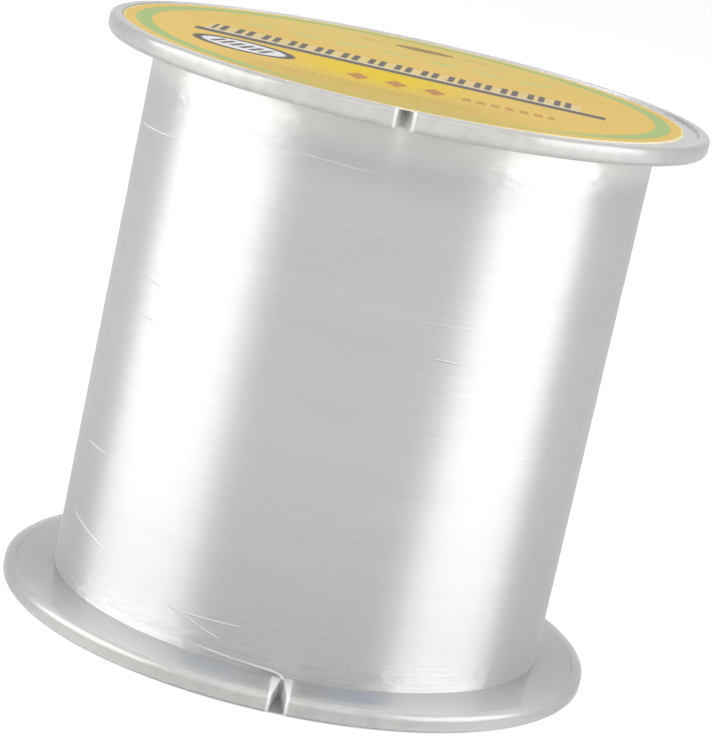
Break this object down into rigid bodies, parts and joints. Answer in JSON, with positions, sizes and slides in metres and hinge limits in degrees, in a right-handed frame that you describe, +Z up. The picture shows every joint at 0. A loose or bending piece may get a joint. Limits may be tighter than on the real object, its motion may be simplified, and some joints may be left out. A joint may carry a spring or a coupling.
{
  "type": "fishing line spool",
  "caption": "Clear supply spool of wound nylon fishing line: two snap-together moulded halves with V-notched flanges, ribbed hub with spindle bore, and a round face label.",
  "frame": {"origin": "centre of the underside, on the spool's axis", "axes": "+Z up along the spool's axis; both line notches face -Y"},
  "size_m": [0.065, 0.065, 0.0624],
  "materials": {
    "clear_plastic": "clear moulded polystyrene, polished",
    "nylon_line": "clear nylon monofilament in close turns, silky gloss along the turns",
    "label_paper": "printed and coated paper, satin"
  },
  "bodies": {
    "root": {"lower_half": "clear_plastic", "upper_half": "clear_plastic", "line_pack": "nylon_line", "face_label": "label_paper"}
  },
  "joints": []
}
